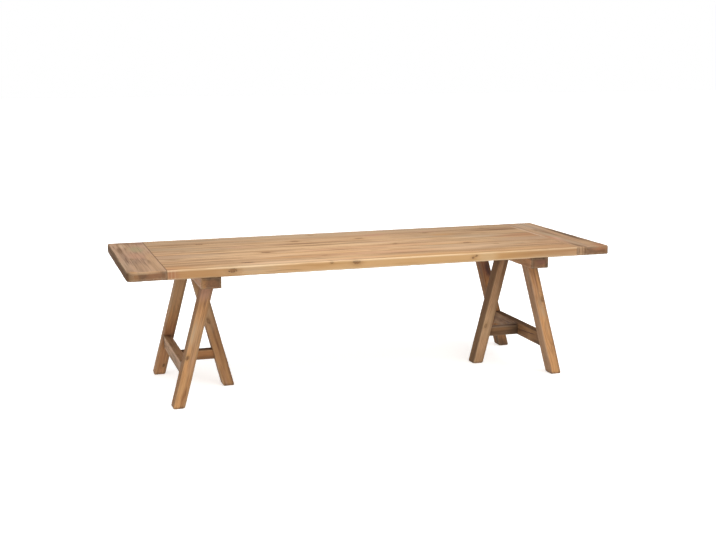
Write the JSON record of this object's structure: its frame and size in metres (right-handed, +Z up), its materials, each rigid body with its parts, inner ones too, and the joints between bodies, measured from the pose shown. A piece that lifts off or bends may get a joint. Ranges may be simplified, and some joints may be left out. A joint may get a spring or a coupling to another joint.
{
  "type": "trestle table",
  "caption": "Long plank table: a loose pine top with breadboard ends resting on a pair of rigid three-legged trestles tied by T-shaped stretchers.",
  "frame": {"origin": "on the floor under the middle of the table top", "axes": "+X along the table's length, +Y from its front to its back, +Z up"},
  "size_m": [2.7, 1, 0.76],
  "materials": {
    "field_pine": "honey-coloured old pine, matt wax",
    "breadboard_pine": "weathered pinkish-brown pine, matt wax",
    "trestle_pine": "orange-brown old pine, matt wax",
    "peg_wood": "plain hardwood, unfinished"
  },
  "bodies": {
    "left_trestle": {"left_beam": "trestle_pine", "left_front_leg": "trestle_pine", "left_back_leg": "trestle_pine", "left_inner_leg": "trestle_pine", "left_outer_stretcher": "trestle_pine", "left_cross_stretcher": "trestle_pine", "left_beam_pegs": "peg_wood", "left_stretcher_pegs": "peg_wood", "left_locating_dowels": "peg_wood"},
    "table_top": {"field_board_1": "field_pine", "field_board_2": "field_pine", "field_board_3": "field_pine", "field_board_4": "field_pine", "field_board_5": "field_pine", "field_board_6": "field_pine", "field_spline_1": "peg_wood", "field_spline_2": "peg_wood", "field_spline_3": "peg_wood", "field_spline_4": "peg_wood", "field_spline_5": "peg_wood", "left_breadboard": "breadboard_pine", "right_breadboard": "breadboard_pine", "left_breadboard_pegs": "peg_wood", "right_breadboard_pegs": "peg_wood"},
    "right_trestle": {"right_beam": "trestle_pine", "right_front_leg": "trestle_pine", "right_back_leg": "trestle_pine", "right_inner_leg": "trestle_pine", "right_outer_stretcher": "trestle_pine", "right_cross_stretcher": "trestle_pine", "right_beam_pegs": "peg_wood", "right_stretcher_pegs": "peg_wood", "right_locating_dowels": "peg_wood"}
  },
  "joints": [
    {"name": "top_lift", "type": "slide", "parent": "left_trestle", "child": "table_top", "axis": [0, 0, 1], "range_m": [0, 0.15]},
    {"name": "right_trestle_release", "type": "slide", "parent": "table_top", "child": "right_trestle", "axis": [0, 0, -1], "range_m": [0, 0.15]}
  ],
  "couplings": [
    {"joint": "right_trestle_release", "follows": "top_lift", "ratio": 1}
  ]
}
